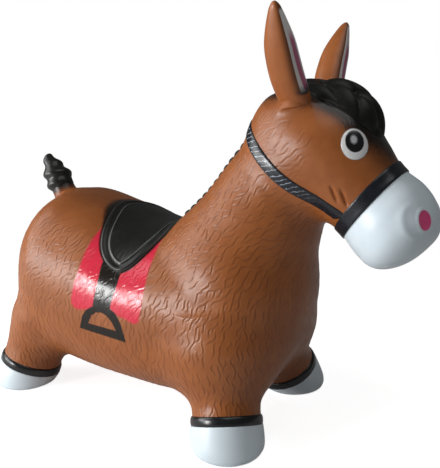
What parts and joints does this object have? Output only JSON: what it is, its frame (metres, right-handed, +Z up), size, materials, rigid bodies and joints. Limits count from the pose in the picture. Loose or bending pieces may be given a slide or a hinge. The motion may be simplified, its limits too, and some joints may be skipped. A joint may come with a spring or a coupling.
{
  "type": "ride-on bouncing animal",
  "caption": "Inflatable ride-on horse for bouncing, with a barrel body, saddle, raised neck, upright ears, twisted tail and short splayed legs on flat hooves.",
  "frame": {"origin": "centre of the bottom face of the toy's box, on the floor under the body", "axes": "+X towards the nose, +Y towards the horse's left side, +Z up"},
  "size_m": [0.5982, 0.28, 0.4984],
  "materials": {
    "brown_vinyl": "semi-gloss paint on soft PVC",
    "white_vinyl": "semi-gloss soft PVC",
    "black_vinyl": "glossy paint on soft PVC",
    "valve_plastic": "plain moulded plastic"
  },
  "bodies": {
    "legs": {"leg_front_left": "brown_vinyl", "hoof_band_front_left": "black_vinyl", "hoof_front_left": "white_vinyl", "leg_front_right": "brown_vinyl", "hoof_band_front_right": "black_vinyl", "hoof_front_right": "white_vinyl", "leg_rear_left": "brown_vinyl", "hoof_band_rear_left": "black_vinyl", "hoof_rear_left": "white_vinyl", "leg_rear_right": "brown_vinyl", "hoof_band_rear_right": "black_vinyl", "hoof_rear_right": "white_vinyl"},
    "body": {"torso": "brown_vinyl", "neck": "brown_vinyl", "head": "brown_vinyl", "muzzle": "white_vinyl", "noseband": "black_vinyl", "cheek_strap": "black_vinyl", "saddle": "black_vinyl", "mane": "black_vinyl", "forelock": "black_vinyl", "eye_left": "white_vinyl", "eye_right": "white_vinyl", "valve_seat": "valve_plastic"},
    "ear_left": {"ear_left": "brown_vinyl"},
    "ear_right": {"ear_right": "brown_vinyl"},
    "tail": {"tail_dock": "brown_vinyl", "tail": "black_vinyl"},
    "valve_plug": {"valve_plug": "valve_plastic"}
  },
  "joints": [
    {"name": "bounce", "type": "slide", "parent": "legs", "child": "body", "axis": [0, 0, 1], "range_m": [-0.022, 0], "stiffness_N_per_m": 8000, "springref_m": 0.0016, "deforming": ["leg_front_left", "leg_front_right", "leg_rear_left", "leg_rear_right"]},
    {"name": "ear_left_flex", "type": "hinge", "parent": "body", "child": "ear_left", "pos_m": [0.15047, 0.04898, 0.40793], "axis": [0, 1, 0], "range_deg": [-15, 15], "stiffness_Nm_per_rad": 0.3},
    {"name": "ear_right_flex", "type": "hinge", "parent": "body", "child": "ear_right", "pos_m": [0.15047, -0.04898, 0.40793], "axis": [0, 1, 0], "range_deg": [-15, 15], "stiffness_Nm_per_rad": 0.3},
    {"name": "tail_flex", "type": "hinge", "parent": "body", "child": "tail", "pos_m": [-0.23748, 0, 0.256], "axis": [0, 1, 0], "range_deg": [-15, 15], "stiffness_Nm_per_rad": 1},
    {"name": "valve_plug_pull", "type": "slide", "parent": "body", "child": "valve_plug", "axis": [-1, 0, 0], "range_m": [0, 0.015]}
  ]
}
